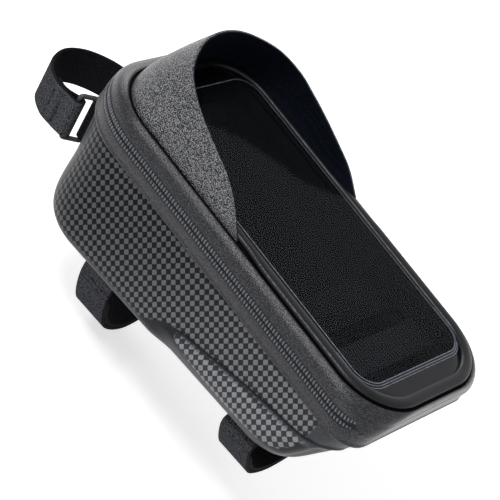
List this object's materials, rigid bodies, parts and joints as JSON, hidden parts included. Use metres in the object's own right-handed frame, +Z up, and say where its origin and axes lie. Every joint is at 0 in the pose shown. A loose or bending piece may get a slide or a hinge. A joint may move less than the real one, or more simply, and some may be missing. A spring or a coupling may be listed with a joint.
{
  "type": "top tube phone bag",
  "caption": "Bag for a bicycle top tube with a hinged, zipped lid, a clear phone window under a sun visor, straps for the tube below and a ringed strap for the head tube.",
  "frame": {"origin": "middle of the flat seat face that lies on the bicycle's top tube", "axes": "+X towards the rider, -Y the rider's left, +Z up and square to the phone window; the seat face rises towards the rider at 5.7 degrees"},
  "size_m": [0.2414, 0.1118, 0.15],
  "materials": {
    "shell": "matte polyurethane face with a raised check texture",
    "band": "fine-grained matte polyurethane",
    "bead": "satin polyurethane piping",
    "visor": "grainy matte",
    "coil": "satin nylon teeth",
    "board": "matte",
    "ring": "satin moulded nylon",
    "film": "clear and glossy",
    "lining": "dark smooth weave",
    "binding": "folded black tape",
    "mesh": "black mesh",
    "elastic": "black elastic",
    "strap": "fuzzy hook-and-loop weave",
    "foam": "soft closed-cell foam",
    "patch": "matte with grip",
    "pull": "matte moulded",
    "metal": "dark satin paint"
  },
  "bodies": {
    "bag": {"lower_shell": "shell", "base_patch": "patch", "inner_binding": "lining", "zip_band_lower": "band", "zip_coil_lower": "coil", "zip_stop_left": "coil", "zip_stop_right": "coil", "hinge_fold": "band", "tube_strap_front": "strap", "tube_strap_rear": "strap", "head_strap": "strap", "head_strap_tab": "strap", "head_ring": "ring"},
    "lid": {"zip_band_upper": "band", "zip_coil_upper": "coil", "lid_binding": "binding", "lid_frame": "board", "window_bead": "bead", "window_film": "film", "visor": "visor", "visor_lining": "lining", "pocket_wall": "foam", "pocket_panel": "mesh", "pocket_closure": "elastic", "phone_pad_front": "foam", "phone_pad_rear": "foam"},
    "slider": {"zip_slider": "metal"},
    "pull": {"zip_pull": "pull"}
  },
  "joints": [
    {"name": "lid_hinge", "type": "hinge", "parent": "bag", "child": "lid", "pos_m": [0.0957, 0, 0.06372], "axis": [0, 1, 0], "range_deg": [0, 100]},
    {"name": "slider_slide", "type": "slide", "parent": "bag", "child": "slider", "axis": [-1, 0, 0], "range_m": [-0.1, 0.018]},
    {"name": "pull_hinge", "type": "hinge", "parent": "slider", "child": "pull", "pos_m": [-0.04, 0.0569, 0.06372], "axis": [0, 0, 1], "range_deg": [0, 165]}
  ]
}
